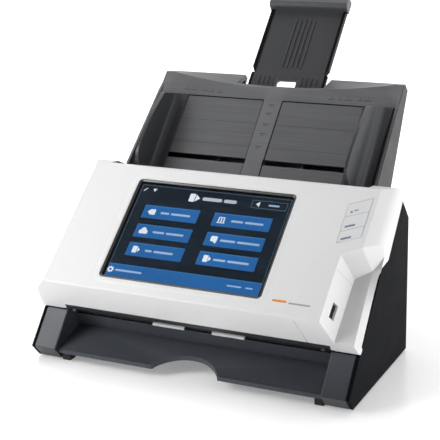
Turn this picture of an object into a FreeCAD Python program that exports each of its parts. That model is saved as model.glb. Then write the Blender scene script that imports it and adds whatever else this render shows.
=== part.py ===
import FreeCAD, Part
import math
import os

V = FreeCAD.Vector

# Sheet fed document scanner with a tilted touch display.
# Millimetres.  +Z is up, the front faces -Y, X runs across the machine.
# Shapes are drawn with y = 0 near the middle of the feed path and moved
# at export so that the origin lies under the middle of the bounding box.

# ---------------------------------------------------------------- sizes
HALF_WIDTH = 159.0        # half of the overall width
FRAME_X = 133.0           # inner face of the side frames and feet
FRAME_T = 3.0             # side frame thickness
SKIN_X = 156.2            # inner face of the outer side panels
FLOOR_GAP = 1.5           # panels stop this far above the table
MIDDLE_Y = 72.41          # drawing y of the bounding box middle

FACE_TILT = 39.8          # display face, degrees from horizontal
FACE_Y, FACE_Z = -80.06, 78.66   # front crease, where the face starts
FACE_TOP = 138.6          # length of the face up the slope
FACE_X = 146.0            # half width of the face
WALL = 2.5                # cover wall

PATH_TILT = 46.0          # tray and feed path, degrees from horizontal
PATH_OFFSET = 62.2        # tray surface, distance from the drawing origin

HINGE_Y, HINGE_Z = -59.2, 49.0   # front cover hinge line
HINGE_R = 1.2             # hinge pins
RUN_FIT = 0.05            # radial clearance of running fits
FIT_GAP = 0.4             # clearance between fixed mouldings

SLOT_S = 174.5            # guide slots, distance up the tray

# side outline, front bottom corner first, then clockwise seen from -X
SIDE_OUTLINE = [
    (-76.0, FLOOR_GAP), (-87.0, 14.0), (-60.8, 44.8), (-6.0, 105.4),
    (12.0, 107.4), (51.0, 152.2), (69.4, 131.6), (69.4, FLOOR_GAP)]

# ------------------------------------------------------- drawing helpers


def frame(tilt, y, z):
    """Local axes: x across, s up the slope, h out of the surface."""
    c = math.cos(math.radians(tilt))
    s = math.sin(math.radians(tilt))
    return FreeCAD.Placement(FreeCAD.Matrix(
        1, 0, 0, 0, 0, c, -s, y, 0, s, c, z, 0, 0, 0, 1))


def path_frame():
    a = math.radians(PATH_TILT)
    return frame(PATH_TILT, -PATH_OFFSET * math.sin(a),
                 PATH_OFFSET * math.cos(a))


WORLD = FreeCAD.Placement()
FACE = frame(FACE_TILT, FACE_Y, FACE_Z)
PATH = path_frame()
TO_SIDE = FreeCAD.Placement(FreeCAD.Matrix(
    0, 0, 1, 0, 1, 0, 0, 0, 0, 1, 0, 0, 0, 0, 0, 1))
TO_CROSS = FreeCAD.Placement(FreeCAD.Matrix(
    1, 0, 0, 0, 0, 0, -1, 0, 0, 1, 0, 0, 0, 0, 0, 1))


def wire(corners):
    """Closed outline; a corner is (u, v) or (u, v, radius)."""
    bends = []
    count = len(corners)
    for i, corner in enumerate(corners):
        here = V(corner[0], corner[1], 0)
        if len(corner) < 3:
            bends.append((here, None, here))
            continue
        before = V(*corners[i - 1][:2], 0) - here
        after = V(*corners[(i + 1) % count][:2], 0) - here
        before.normalize()
        after.normalize()
        half = before.getAngle(after) / 2
        reach = corner[2] / math.tan(half)
        axis = (before + after).normalize()
        middle = here + axis * (corner[2] / math.sin(half) - corner[2])
        bends.append((here + before * reach, middle, here + after * reach))
    edges = []
    for i, (start, middle, end) in enumerate(bends):
        if middle:
            edges.append(Part.Arc(start, middle, end).toShape())
        following = bends[(i + 1) % count][0]
        if (following - end).Length > 1e-6:
            edges.append(Part.makeLine(end, following))
    return Part.Wire(edges)


def extrude(corners, low, high):
    face = Part.Face(wire(corners))
    face.translate(V(0, 0, low))
    return face.extrude(V(0, 0, high - low))


def placed(shape, place):
    shape.Placement = place.multiply(shape.Placement)
    return shape


def plan(base, corners, low, high):
    """Outline in (x, s), thickness along h."""
    return placed(extrude(corners, low, high), base)


def side(base, corners, left, right):
    """Outline in (s, h), width along x."""
    return placed(extrude(corners, left, right), base.multiply(TO_SIDE))


def cross(base, corners, near, far):
    """Outline in (x, h), length along s."""
    return placed(extrude(corners, -far, -near), base.multiply(TO_CROSS))


def block(base, xs, ss, hs):
    corners = [(xs[0], ss[0]), (xs[1], ss[0]), (xs[1], ss[1]), (xs[0], ss[1])]
    return plan(base, corners, hs[0], hs[1])


def rounded_block(base, xs, ss, hs, radius):
    corners = [(x, s, radius) for x, s in
               ((xs[0], ss[0]), (xs[1], ss[0]), (xs[1], ss[1]), (xs[0], ss[1]))]
    return plan(base, corners, hs[0], hs[1])


def rod(base, s, h, radius, left, right):
    """Round bar across the machine."""
    bar = Part.makeCylinder(radius, right - left, V(left, s, h), V(1, 0, 0))
    return placed(bar, base)


def peg(base, x, s, radius, low, high):
    """Round bar standing out of the surface."""
    return placed(
        Part.makeCylinder(radius, high - low, V(x, s, low), V(0, 0, 1)), base)


def ring(base, s, h, inner, outer, left, right):
    return rod(base, s, h, outer, left, right).cut(
        rod(base, s, h, inner, left - 1, right + 1))


def mirrored(shape):
    return shape.mirror(V(0, 0, 0), V(1, 0, 0))


def both(shape):
    return [shape, mirrored(shape)]


def joined(shapes):
    shapes = list(shapes)
    return shapes[0].fuse(shapes[1:]).removeSplitter()


def carve(shape, tools):
    return shape.cut(list(tools))


def group(shapes):
    return Part.makeCompound(list(shapes))


def inset(points, distances):
    """Move each side of a clockwise outline inwards by its distance."""
    count = len(points)
    lines = []
    for i in range(count):
        a = V(*points[i], 0)
        b = V(*points[(i + 1) % count], 0)
        along = (b - a).normalize()
        inward = V(along.y, -along.x, 0)
        lines.append((a + inward * distances[i], along))
    result = []
    for i in range(count):
        p, d = lines[i - 1]
        q, e = lines[i]
        t = ((q - p).cross(e)).z / (d.cross(e)).z
        hit = p + d * t
        result.append((hit.x, hit.y))
    return result


parts = {}

# --------------------------------------------------------- base, outside

KNUCKLE_R = 3.6           # round lower corner of the cover
DRIVE_SHAFTS = {          # name: (s, h, roller radius) below the path
    "feed": (108.0, -9.7, 9.2),
    "drive": (82.0, -6.5, 6.0),
    "exit": (28.0, -6.5, 6.0)}
SHAFT_R = 3.0
BUSH_R = 5.0
MOTOR_S, MOTOR_H = 70.0, -48.0
MOTOR_R = 17.0
BACK_Y = 66.9             # inner face of the rear wall
BED_TOP, BED_T = -1.2, 2.8       # paper bed, below the sheet
REAR_FEET = [(-118, 54), (118, 54)]
FRONT_FOOT = (127.8, -71.2)


def side_panel():
    """Outer skin, relieved around the cover's knuckle."""
    skin = side(WORLD, SIDE_OUTLINE, SKIN_X, HALF_WIDTH)
    edges = [e for e in skin.Edges
             if abs(e.CenterOfMass.x - HALF_WIDTH) < 0.01]
    skin = skin.makeChamfer(0.6, edges)
    return skin.cut(knuckle(KNUCKLE_R + 0.5, 100, 200))


def knuckle(radius, left, right):
    return rod(WORLD, HINGE_Y, HINGE_Z, radius, left, right)


def side_frame():
    """Inner plate with the hollow front foot."""
    reach = inset(SIDE_OUTLINE, [0.4, 0.4, 0.9, 0.9, 0.9, 3.2, 3.2, 0.4])
    far = FRAME_X + FRAME_T
    plate = side(WORLD, reach, FRAME_X, far)
    foot_line = [(-76.0, FLOOR_GAP), (-87.0, 14.0), (-60.8, 44.4),
                 (-57.4, 43.0), (-40.0, 43.0), (-40.0, FLOOR_GAP)]
    foot = side(WORLD, foot_line, FRAME_X, SKIN_X - 0.3)
    edges = [e for e in foot.Edges
             if e.CenterOfMass.y < -62 and e.Length > 10
             and abs(e.CenterOfMass.x - 144) < 13]
    foot = foot.makeFillet(1.0, edges)
    hollow = inset(foot_line, [2.5] * 6)
    foot = foot.cut(side(WORLD, hollow, far, SKIN_X - 2.8))
    ledge = side(WORLD, [(-63.6, 11.5), (-63.6, 14.7), (-42.0, 20.5),
                         (-42.0, 17.3)], FRAME_X - 4, FRAME_X)
    body = joined([plate, foot, ledge]).cut(
        knuckle(KNUCKLE_R + 0.5, 100, 200))
    neck = side(WORLD, [(HINGE_Y, HINGE_Z - 2.2), (-50.0, 47.2),
                        (-50.0, 56.0), (HINGE_Y, HINGE_Z + 2.2)],
                FRAME_X, far)
    return joined([body, neck, knuckle(2.2, FRAME_X, far)])


def side_frames():
    right = side_frame()
    holes = [rod(PATH, s, h, BUSH_R, 100, 170)
             for s, h, _ in DRIVE_SHAFTS.values()]
    holes.append(knuckle(HINGE_R, 100, 170))
    right = carve(right, holes)
    motor_hole = rod(PATH, MOTOR_S, MOTOR_H, 7.0, -170, -100)
    parts["right_side_frame"] = right
    parts["left_side_frame"] = mirrored(right).cut(motor_hole)


def output_floor():
    """Sloping exit tray with a finger notch and the wall behind it."""
    width = FRAME_X - FIT_GAP
    front_y, back_y, back_z = -81.0, -41.5, 23.8
    notch_half, notch_depth = 33.3, 20.0
    lip_top, lip_low = 13.2, 8.6
    section = [
        (front_y, lip_low), (front_y, lip_top, 0.8), (back_y, back_z),
        (-46.3, 36.6), (-43.6, 36.6), (-38.6, 23.3), (-38.6, 21.6),
        (-78.4, 10.9), (-78.4, lip_low)]
    tray = side(WORLD, section, -width, width)
    radius = (notch_half ** 2 + notch_depth ** 2) / (2 * notch_depth)
    centre = V(0, front_y + notch_depth - radius, 0)
    well = Part.makeCylinder(radius, 60, centre)
    rim = Part.makeCylinder(radius + 2.6, 60, centre)
    under = side(WORLD, [
        (front_y, lip_low), (front_y, lip_top), (back_y, back_z),
        (back_y, back_z - 4.6)], -width, width)
    ribs = [side(WORLD, [(-76.0, 9.4), (-76.0, 12.0), (-40.0, 21.6),
                         (-40.0, 12.4)], x - 1, x + 1)
            for x in (-108, -78, -48, 48, 78, 108)]
    socket = side(WORLD, [(-78.2, 7.4), (-78.2, 11.4), (-64.4, 15.1),
                          (-64.4, 7.4)], 121.2, width - 0.3)
    tray = joined([tray, rim.common(under)] + ribs + both(socket))
    return carve(tray, [well] + both(front_foot(0.1)))


def front_foot(gap):
    """Rubber block under the front corner of the exit tray."""
    x, y = FRONT_FOOT
    return rounded_block(WORLD, (x - 4.6 - gap, x + 4.6 + gap),
                         (y - 5.2 - gap, y + 5.2 + gap), (0, 10.4 + gap), 1.2)


def base_pan():
    """Bottom tray with a shallow rim, ribs and pads for the feet."""
    low, floor, rim_top, front_y = 2.6, 5.0, 16.0, -20.0
    width = FRAME_X - FIT_GAP
    plate = block(WORLD, (-width, width), (front_y, BACK_Y - 0.4),
                  (low, floor))
    rims = [block(WORLD, (width - 2, width), (front_y, BACK_Y - 0.4),
                  (low, rim_top))]
    rims.append(mirrored(rims[0]))
    rims.append(block(WORLD, (-width, width), (BACK_Y - 2.4, BACK_Y - 0.4),
                      (low, 12.0)))
    ribs = [block(WORLD, (x - 1, x + 1), (front_y, BACK_Y - 0.4), (low, 9.0))
            for x in (-110, -66, -22, 22, 66, 110)]
    pan = joined([plate] + rims + ribs)
    vents = [rounded_block(WORLD, (x, x + 3), (-10, 30), (0, 6), 1.4)
             for x in range(28, 62, 7)]
    pads = [Part.makeCylinder(8.3, 1.2, V(x, y, low - 0.1))
            for x, y in REAR_FEET]
    return carve(pan, vents + pads)


def rubber_feet():
    block_foot = front_foot(0.0)
    low_edges = [e for e in block_foot.Edges if e.BoundBox.ZMax < 0.01]
    feet = both(block_foot.makeChamfer(0.6, low_edges))
    for x, y in REAR_FEET:
        pad = Part.makeCylinder(8.0, 3.7, V(x, y, 0))
        low_edge = [e for e in pad.Edges if e.CenterOfMass.z < 0.01]
        feet.append(pad.makeFillet(0.8, low_edge[:1]))
    return group(feet)


PORTS = {                  # name: (x, z, width, height) in the rear wall
    "lan_socket": (-62.0, 30.0, 16.0, 13.6),
    "usb_b_socket": (-30.0, 29.0, 12.2, 11.0),
    "power_socket": (6.0, 28.5, 9.6, 10.4)}
REAR_SCREWS = [(x, z) for x in (-142, 142) for z in (16, 118)]


def rear_cover():
    """Rear wall with ports, vents and the two sloping shoulders."""
    width = SKIN_X - 0.3
    outer_y = 69.4
    wall = side(WORLD, [(BACK_Y, FLOOR_GAP), (outer_y, FLOOR_GAP),
                        (outer_y, 131.4), (BACK_Y, 131.4)], -width, width)
    wing = side(WORLD, [(BACK_Y, 130.6), (outer_y, 131.4), (51.3, 151.7),
                        (49.5, 150.1)], FRAME_X + 0.3, width)
    top = block(WORLD, (-FRAME_X + FIT_GAP, FRAME_X - FIT_GAP),
                (60.0, outer_y), (128.9, 131.4))
    tools = []
    for x, z, wide, high in PORTS.values():
        tools.append(block(WORLD, (x - wide / 2 - 0.4, x + wide / 2 + 0.4),
                           (BACK_Y - 5, outer_y + 1),
                           (z - high / 2 - 0.4, z + high / 2 + 0.4)))
    for i in range(14):
        x = 36.0 + 6.0 * i
        tools.append(block(WORLD, (x, x + 2.4), (BACK_Y - 5, outer_y + 1),
                           (84, 112)))
    lock = block(WORLD, (-112, -105), (BACK_Y - 5, outer_y + 1), (26, 29))
    tools.append(lock)
    for x, z in REAR_SCREWS:
        tools.append(rear_hole(x, z, 3.4, outer_y - 0.9))
        tools.append(rear_hole(x, z, 1.7, BACK_Y - 1))
    return carve(joined([wall, top] + both(wing)), tools)


def rear_hole(x, z, radius, start):
    return Part.makeCylinder(radius, 20, V(x, start, z), V(0, 1, 0))


def rear_screws():
    screws = []
    for x, z in REAR_SCREWS:
        head = Part.makeCylinder(3.1, 1.5, V(x, 68.6, z), V(0, 1, 0))
        shank = Part.makeCylinder(1.5, 12, V(x, 56.7, z), V(0, 1, 0))
        cross_cut = [block(WORLD, (x - 1.6, x + 1.6), (69.3, 71), (z - .3, z + .3)),
                     block(WORLD, (x - .3, x + .3), (69.3, 71), (z - 1.6, z + 1.6))]
        screws.append(carve(joined([head, shank]), cross_cut))
    return group(screws)


side_frames()
parts["right_side_panel"] = side_panel()
parts["left_side_panel"] = mirrored(parts["right_side_panel"])
parts["output_floor"] = output_floor()
parts["base_pan"] = base_pan()
parts["rubber_feet"] = rubber_feet()
parts["rear_cover"] = rear_cover()
parts["rear_screws"] = rear_screws()

# ------------------------------------------------------ base, paper path

BED_END = 127.5
TYRES = {                  # name: (inner edges of the tyres, width)
    "feed": ((11.0,), 22.0), "drive": ((24.0, 84.0), 18.0),
    "exit": ((24.0, 84.0), 18.0)}
PULLEY_R = {"feed": 11.2, "drive": 8.0, "exit": 8.0, "motor": 6.0}
PULLEY_X = (-146.0, -139.0)
SENSOR_S = (48.0, 64.0)
SENSOR_X = 111.0
TONGUES = [(88.0, 104.0), (-104.0, -88.0)]   # tray tongues in the bed
TONGUE_H = (-8.2, -5.6)


def tyre_spans(name):
    starts, width = TYRES[name]
    spans = []
    for start in starts:
        spans.append((start, start + width))
        spans.append((-start - width, -start))
    return spans


def paper_bed():
    """Lower paper guide with windows, side walls and the rear deck."""
    width = FRAME_X - FIT_GAP
    low = BED_TOP - BED_T
    plate = side(PATH, [(-4.5, low), (-4.5, BED_TOP, 0.6),
                        (BED_END, BED_TOP), (BED_END, low)], -width, width)
    deck = block(WORLD, (-width, width), (45.2, BACK_Y - 7.2), (129.2, 131.6))
    ribs = [side(PATH, [(4, -16), (4, low), (126, low), (126, -9), (118, -16)],
                 x - 1.2, x + 1.2) for x in (-120, -60, 60, 120)]
    bed = joined([plate, deck] + ribs)
    tools = [block(PATH, (-SENSOR_X - .4, SENSOR_X + .4),
                   (SENSOR_S[0] - .4, SENSOR_S[1] + .4), (-30, 2))]
    for name, (s, h, radius) in DRIVE_SHAFTS.items():
        tools.append(rod(PATH, s, h, SHAFT_R + 0.5, -width - 1, width + 1))
        for left, right in tyre_spans(name):
            tools.append(block(PATH, (left - 1, right + 1),
                               (s - radius - .5, s + radius + .5), (-8, 2)))
    for left, right in TONGUES:
        tools.append(block(PATH, (left - .4, right + .4), (110, 140),
                           (TONGUE_H[0] - .4, TONGUE_H[1] + .4)))
    return carve(bed, tools)


def drive_shaft(name):
    s, h, _ = DRIVE_SHAFTS[name]
    bar = rod(PATH, s, h, SHAFT_R, PULLEY_X[0] - 1, FRAME_X + 5)
    ends = [e for e in bar.Edges if e.Closed]
    return bar.makeChamfer(0.5, ends)


def tyres(name):
    s, h, radius = DRIVE_SHAFTS[name]
    made = []
    for left, right in tyre_spans(name):
        tyre = ring(PATH, s, h, SHAFT_R, radius, left, right)
        rims = [e for e in tyre.Edges
                if e.Closed and abs(e.Curve.Radius - radius) < 0.01]
        made.append(tyre.makeFillet(0.6, rims))
    return group(made)


def pulley(s, h, radius, bore):
    left, right = PULLEY_X
    wheel = rod(PATH, s, h, radius, left, right)
    flanges = [rod(PATH, s, h, radius + 1.6, left, left + 0.8),
               rod(PATH, s, h, radius + 1.6, right - 0.8, right)]
    return joined([wheel] + flanges).cut(
        rod(PATH, s, h, bore, left - 1, right + 1))


def bushes():
    made = []
    for s, h, _ in DRIVE_SHAFTS.values():
        sleeve = rod(PATH, s, h, BUSH_R, FRAME_X, FRAME_X + FRAME_T)
        collar = rod(PATH, s, h, BUSH_R + 1.5, FRAME_X + FRAME_T,
                     FRAME_X + FRAME_T + 1)
        bush = joined([sleeve, collar]).cut(
            rod(PATH, s, h, SHAFT_R + RUN_FIT, 100, 170))
        made += both(bush)
    return group(made)


def drive_belt():
    """Flat belt round the exit, feed and motor pulleys."""
    wheels = [(DRIVE_SHAFTS["exit"][:2], PULLEY_R["exit"]),
              ((MOTOR_S, MOTOR_H), PULLEY_R["motor"]),
              (DRIVE_SHAFTS["feed"][:2], PULLEY_R["feed"])]
    inside = belt_loop(wheels, 0.35)
    outside = belt_loop(wheels, 1.6)
    return outside.cut(inside)


def belt_loop(wheels, gap):
    """Rounded triangle that encloses the wheels with a gap."""
    solids = []
    left, right = PULLEY_X[0] + 1.3, PULLEY_X[1] - 1.3
    for i, ((s0, h0), r0) in enumerate(wheels):
        (s1, h1), r1 = wheels[(i + 1) % 3]
        solids.append(rod(PATH, s0, h0, r0 + gap, left, right))
        quad = tangent_quad(s0, h0, r0 + gap, s1, h1, r1 + gap)
        solids.append(side(PATH, quad, left, right))
    centres = [wheel[0] for wheel in wheels]
    solids.append(side(PATH, centres, left, right))
    return joined(solids)


def tangent_quad(s0, h0, r0, s1, h1, r1):
    """Centres and outer tangent points of two wheels, right-hand side."""
    gap = math.hypot(s1 - s0, h1 - h0)
    heading = math.atan2(h1 - h0, s1 - s0)
    lean = heading - math.acos((r0 - r1) / gap)
    c, d = math.cos(lean), math.sin(lean)
    return [(s0, h0), (s0 + r0 * c, h0 + r0 * d),
            (s1 + r1 * c, h1 + r1 * d), (s1, h1)]


def motor():
    body = rod(PATH, MOTOR_S, MOTOR_H, MOTOR_R, -FRAME_X + 2.2, -92)
    flange = rounded_block(PATH, (-FRAME_X + 0.2, -FRAME_X + 2.2),
                           (MOTOR_S - 22, MOTOR_S + 22),
                           (MOTOR_H - 14, MOTOR_H + 14), 0.9)
    hub = rod(PATH, MOTOR_S, MOTOR_H, 6.6, -FRAME_X - 2.5, -FRAME_X + 1)
    cap = rod(PATH, MOTOR_S, MOTOR_H, 10, -92, -89.5)
    shaft_room = rod(PATH, MOTOR_S, MOTOR_H, 2.1, -FRAME_X - 3, -100)
    return joined([body, flange, hub, cap]).cut(shaft_room)


def motor_shaft():
    return rod(PATH, MOTOR_S, MOTOR_H, 2.0, PULLEY_X[0] - 1, -101)


def sensor_housing(h_low, h_high, glass_side):
    body = block(PATH, (-SENSOR_X, SENSOR_X), SENSOR_S, (h_low, h_high))
    edges = [e for e in body.Edges if e.Length > 200]
    body = body.makeChamfer(1.0, edges)
    return body.cut(block(PATH, (-SENSOR_X + 2, SENSOR_X - 2),
                          (SENSOR_S[0] + 2, SENSOR_S[1] - 2), glass_side))


def main_board():
    board = block(WORLD, (-90, 96), (57.4, 59.0), (14, 84))
    holes = [Part.makeCylinder(1.7, 9, V(x, 52, z), V(0, 1, 0))
             for x in (-86, 92) for z in (18, 80)]
    board = carve(board, holes)
    chips = [((-20, 8), (46, 70), 2.4), ((30, 46), (50, 66), 1.6),
             ((-58, -40), (52, 64), 1.6), ((60, 70), (22, 40), 8.0),
             ((74, 84), (22, 40), 8.0), ((-80, -66), (46, 76), 5.0)]
    pieces = [block(WORLD, xs, (57.4 - tall, 57.4), zs)
              for xs, zs, tall in chips]
    return joined([board] + pieces)


def socket(name, mouth_depth, core):
    """Metal or plastic shell with an open mouth and a centre core."""
    x, z, wide, high = PORTS[name]
    shell = block(WORLD, (x - wide / 2, x + wide / 2), (59.1, 69.2),
                  (z - high / 2, z + high / 2))
    mouth = block(WORLD, (x - wide / 2 + .9, x + wide / 2 - .9),
                  (69.2 - mouth_depth, 70), (z - high / 2 + .9, z + high / 2 - .9))
    return joined([shell.cut(mouth), core])


def base_sockets():
    x, z = PORTS["lan_socket"][:2]
    core = block(WORLD, (x - 5.6, x + 5.6), (59.1, 66), (z + 3.4, z + 6))
    parts["lan_socket"] = socket("lan_socket", 8.6, core)
    x, z = PORTS["usb_b_socket"][:2]
    core = block(WORLD, (x - 2.8, x + 2.8), (59.1, 68), (z - 1.6, z + 1.6))
    parts["usb_b_socket"] = socket("usb_b_socket", 8.6, core)
    x, z = PORTS["power_socket"][:2]
    core = Part.makeCylinder(1.0, 8, V(x, 59.1, z), V(0, 1, 0))
    parts["power_socket"] = socket("power_socket", 8.6, core)


parts["paper_bed"] = paper_bed()
for name in DRIVE_SHAFTS:
    parts[name + "_shaft"] = drive_shaft(name)
    parts[name + "_tyres"] = tyres(name)
    parts[name + "_pulley"] = pulley(*DRIVE_SHAFTS[name][:2], PULLEY_R[name],
                                     SHAFT_R)
parts["shaft_bushes"] = bushes()
parts["drive_belt"] = drive_belt()
parts["drive_motor"] = motor()
parts["motor_shaft"] = motor_shaft()
parts["motor_pulley"] = pulley(MOTOR_S, MOTOR_H, PULLEY_R["motor"], 2.0)
parts["rear_image_sensor"] = sensor_housing(-17.0, -2.6, (-6.0, 0.0))
parts["rear_sensor_glass"] = block(
    PATH, (-SENSOR_X + .6, SENSOR_X - .6),
    (SENSOR_S[0] + .6, SENSOR_S[1] - .6), (-2.55, -1.4))
parts["main_board"] = main_board()
base_sockets()


# ----------------------------------------------------------- front cover

LIP_Y, LIP_Z = -62.0, 46.6       # bottom edge of the cover
RECESS_DEPTH = 26.5
RECESS_FLANK = 1.85              # steep end of the wall above the recess
DISPLAY_X = (-91.3, 71.0)        # glass
DISPLAY_S = (13.35, 123.8)
VIEW_X = (-87.2, 67.2)           # lit area
VIEW_S = (16.2, 119.5)
KEY_X = (121.8, 142.3)
KEY_LEAN = 0.447                 # rise of the key edges across x
KEY_STARTS = (77.9, 90.1, 105.4, 119.4)
SHOULDER_X = 133.3               # inner faces of the two shoulders
NIPS = {                         # rollers above the path: (s, h, radius)
    "drive": (82.0, 5.1, 5.0), "exit": (28.0, 5.1, 5.0),
    "retard": (108.0, 7.1, 7.0)}


def cover_outline():
    """Side view, lip first, then up the face and back along the sides."""
    edge = inset(SIDE_OUTLINE, [0, 0, -0.5, -0.5, -0.5, 0, 0, 0])
    low_y = edge[3][0] + (LIP_Z - edge[3][1]) * (
        (edge[3][0] - edge[2][0]) / (edge[3][1] - edge[2][1]))
    top = FACE.multVec(V(0, FACE_TOP, 0))
    return [(LIP_Y, LIP_Z), (FACE_Y, FACE_Z), (top.y, top.z), (45.0, 165.2),
            (64.6, 156.3), edge[5], edge[4], edge[3], (low_y, LIP_Z)]


def flared(skin, lift):
    """Width of the cover seen along the face, inset by the skin."""
    half = [(FACE_X, 0), (158.0, -13.0), (HALF_WIDTH, -27.0),
            (HALF_WIDTH, -160)]
    outline = half + [(-x, h) for x, h in reversed(half)]
    outline = inset(outline, [skin] * 7 + [-lift])
    bends = [2.5, 18.0 - skin, 0.0, 0.0, 0.0, 0.0, 18.0 - skin, 2.5]
    return cross(FACE, [p + (r,) if r else p
                        for p, r in zip(outline, bends)], -90, 230)


def recess(grow):
    """Corner recess for the USB socket, opening to the right."""
    far = 190.0
    layers = []
    for h in (6.0, -RECESS_DEPTH, -45.0):
        left = 129.2 - 0.3245 * h - grow
        top = 67.35 + 0.2785 * h + grow
        bend = FACE_X - 0.2075 * h
        bend_s = top + (0.569 - 0.0059 * h) * (bend - left)
        corners = [(left, -80), (left, top), (bend, bend_s),
                   (far, bend_s + RECESS_FLANK * (far - bend)), (far, -80)]
        outline = wire(corners)
        outline.translate(V(0, 0, h))
        layers.append(outline)
    walls = placed(Part.makeLoft(layers, True, True), FACE)
    return walls.cut(recess_floor(grow))


def recess_floor(grow):
    """Everything below the recess floor and the slope beside it."""
    top, bottom, out = -RECESS_DEPTH - grow, -60.0, 160.5
    ends = []
    for s in (-30.0, 100.0):
        edge_x = 155.2 - 0.0533 * s
        rim_h = -35.75 + 0.1458 * s
        slope = (rim_h + RECESS_DEPTH) / (HALF_WIDTH - edge_x)
        corners = [(100.0, bottom), (100.0, top), (edge_x, top),
                   (out, top + slope * (out - edge_x)), (out, bottom)]
        points = [V(x, s, h) for x, h in corners]
        ends.append(Part.makePolygon(points + points[:1]))
    return placed(Part.makeLoft(ends, True, True), FACE)


def cover_body():
    """Solid the cover is cut from."""
    corners = cover_outline()
    radii = [0.8, 2.0, 4.0, 14.0, 1.2, 0.6, 3.0, 3.0, 0.4]
    profile = [p + (r,) for p, r in zip(corners, radii)]
    return side(WORLD, profile, -HALF_WIDTH, HALF_WIDTH).common(
        flared(0.0, 0.0))


def cover_hollow():
    corners = inset(cover_outline(),
                    [WALL, WALL, WALL, WALL, -6, -6, -6, -6, -3])
    room = side(WORLD, corners, -HALF_WIDTH, HALF_WIDTH)
    return room.common(flared(WALL, 5.0))


def throat_cut():
    """Space of the feed throat between the shoulders."""
    return side(WORLD, [(31.2, 190), (31.2, 163), (36.8, 128.6), (60, 120),
                        (140, 120), (140, 190)], -SHOULDER_X, SHOULDER_X)


def key_outline(low, high, gap):
    """Slanted outline shared by the keys and their window."""
    left, right = KEY_X[0] + gap, KEY_X[1] - gap
    rise = KEY_LEAN * (right - left)
    low, high = low + gap, high - gap
    return [(left, low, 0.8), (right, low + rise, 0.8),
            (right, high + rise, 0.8), (left, high, 0.8)]


def hinge_ear():
    """Eye inside the cover that turns on a hinge pin."""
    left, right = 124.0, 132.4
    ear = rod(WORLD, HINGE_Y, HINGE_Z, 2.8, left, right)
    web = side(WORLD, [(HINGE_Y - 2.6, HINGE_Z), (-66.5, 63.0),
                       (-60.0, 66.0), (HINGE_Y + 2.8, HINGE_Z)],
               left, right)
    lug = side(WORLD, [(-61.4, 44.4), (-61.4, 49.0), (-56.4, 49.0),
                       (-57.2, 44.4)], left, left + 3.2)
    return joined([ear, web, lug])


def front_cover():
    """Hinged white cover with the display window and the keys."""
    outer = cover_body()
    shell = outer.cut(cover_hollow())
    skins = [shell, outer.common(recess(2.2))]
    shoulder = outer.common(block(WORLD, (SHOULDER_X, SHOULDER_X + 2.4),
                                  (29.5, 90), (100, 190)))
    skins += both(shoulder)
    skins += both(outer.common(block(
        WORLD, (SHOULDER_X, HALF_WIDTH), (29.5, 32.0), (146, 190))))
    skins.append(side(WORLD, [(31.2, 163.0), (29.5, 166.2), (26.0, 165.0),
                              (28.6, 163.0), (30.5, 151.0), (33.1, 151.0)],
                      -SHOULDER_X, SHOULDER_X))
    skins += both(hinge_ear())
    knob = knuckle(KNUCKLE_R, FRAME_X + FRAME_T + 0.6, HALF_WIDTH)
    skins += both(knob)
    body = joined(skins)
    tools = [throat_cut(), recess(0.0)]
    tools += both(knuckle(2.85, FRAME_X - 0.4, FRAME_X + FRAME_T + 0.4))
    tools += both(knuckle(HINGE_R + RUN_FIT, 120, FRAME_X - 0.2))
    tools += both(side(WORLD, [(HINGE_Y, HINGE_Z - 2.6), (-48.0, 46.0),
                               (-48.0, 58.0), (HINGE_Y, HINGE_Z + 2.6)],
                       FRAME_X - 0.4, FRAME_X + FRAME_T + 0.4))
    window = [(DISPLAY_X[0] - .4, DISPLAY_S[0] - .4, 4),
              (DISPLAY_X[1] + .4, DISPLAY_S[0] - .4, 4),
              (DISPLAY_X[1] + .4, DISPLAY_S[1] + .4, 4),
              (DISPLAY_X[0] - .4, DISPLAY_S[1] + .4, 4)]
    tools.append(plan(FACE, window, -6, 3))
    tools.append(plan(FACE, key_outline(KEY_STARTS[0], KEY_STARTS[3], -0.3),
                      -6, 3))
    tools.append(block(FACE, (126, 140), (11.0, 26.0), (-17.2, -10.0)))
    tools.append(seam_tool())
    return carve(body, tools)


def seam_tool():
    """Fine part line near the right end of the lip."""
    lean = math.degrees(math.atan2(FACE_Z - LIP_Z, FACE_Y - LIP_Y))
    lip = frame(lean, LIP_Y, LIP_Z)
    line = [(113.0, 4.0), (113.7, 4.0), (105.6, 33.5), (104.9, 33.5)]
    return plan(lip, line, -0.5, 0.5)


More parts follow.
